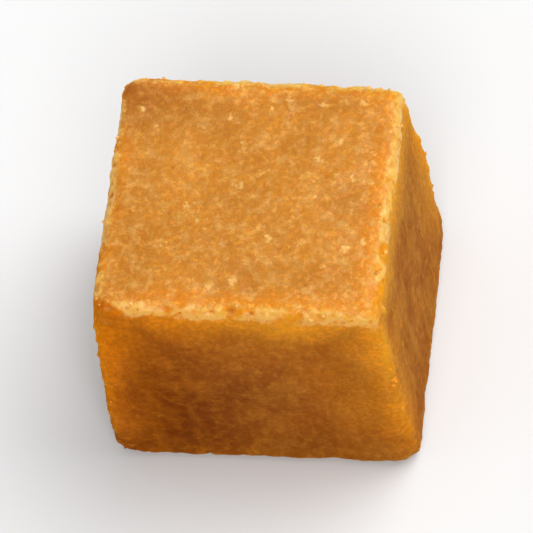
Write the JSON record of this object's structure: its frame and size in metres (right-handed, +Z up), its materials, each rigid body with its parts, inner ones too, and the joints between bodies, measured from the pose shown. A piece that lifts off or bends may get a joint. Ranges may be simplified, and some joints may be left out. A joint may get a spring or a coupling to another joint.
{
  "type": "fudge cube",
  "caption": "Bite-sized cube of caramel-coloured fudge, cut from a slab, with lightly worn, crumbly edges and a flat foot.",
  "frame": {"origin": "middle of the foot, on the surface that the cube rests on", "axes": "+X to the right along the cube's longest side, +Y from the front face to the back face, +Z up through the poured top"},
  "size_m": [0.0186, 0.0172, 0.0168],
  "materials": {
    "fudge": "opaque-looking but translucent at the edges, satin to matt, finely granular, with paler sugar specks and crumbly edges"
  },
  "bodies": {
    "root": {"fudge_cube": "fudge"}
  },
  "joints": []
}
